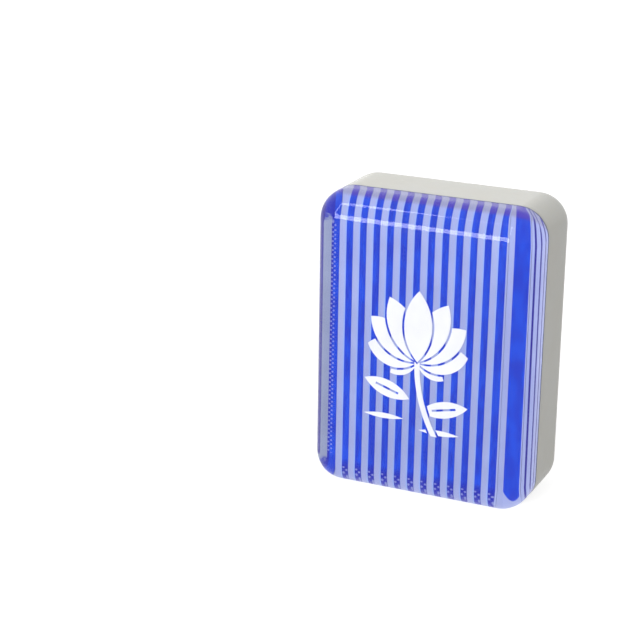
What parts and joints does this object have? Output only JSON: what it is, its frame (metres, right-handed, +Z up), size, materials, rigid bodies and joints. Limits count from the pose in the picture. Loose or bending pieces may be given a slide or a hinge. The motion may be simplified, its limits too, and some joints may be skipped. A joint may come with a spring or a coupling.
{
  "type": "mahjong tile",
  "caption": "Rounded game tile: an engraved and enamelled white face block bonded to a striped printed sheet under a clear back.",
  "frame": {"origin": "middle of the tile's footprint on the table, with the tile standing on its short edge", "axes": "+Z up along the tile's height, -Y out of the engraved face, +Y out of the clear back, +X across the width"},
  "size_m": [0.0226, 0.0126, 0.03],
  "materials": {
    "white_plastic": "polished",
    "seam_adhesive": "cured adhesive",
    "pale_sheet": "satin print",
    "blue_ink": "screen print",
    "white_ink": "screen print",
    "clear_adhesive": "clear film",
    "clear_acrylic": "polished",
    "black_enamel": "gloss enamel",
    "dark_green_enamel": "gloss enamel",
    "green_enamel": "gloss enamel",
    "red_enamel": "gloss enamel"
  },
  "bodies": {
    "root": {"face_block": "white_plastic", "seam_bond": "seam_adhesive", "ground_sheet": "pale_sheet", "blue_stripes": "blue_ink", "white_lotus": "white_ink", "clear_bond": "clear_adhesive", "clear_back": "clear_acrylic", "ring_enamel": "black_enamel", "bank_enamel": "black_enamel", "stalk_enamel": "dark_green_enamel", "leaf_enamel": "green_enamel", "sprig_enamel": "green_enamel", "red_blossom_1": "red_enamel", "red_blossom_2": "red_enamel", "red_blossom_3": "red_enamel", "red_blossom_4": "red_enamel", "red_blossom_5": "red_enamel"}
  },
  "joints": []
}
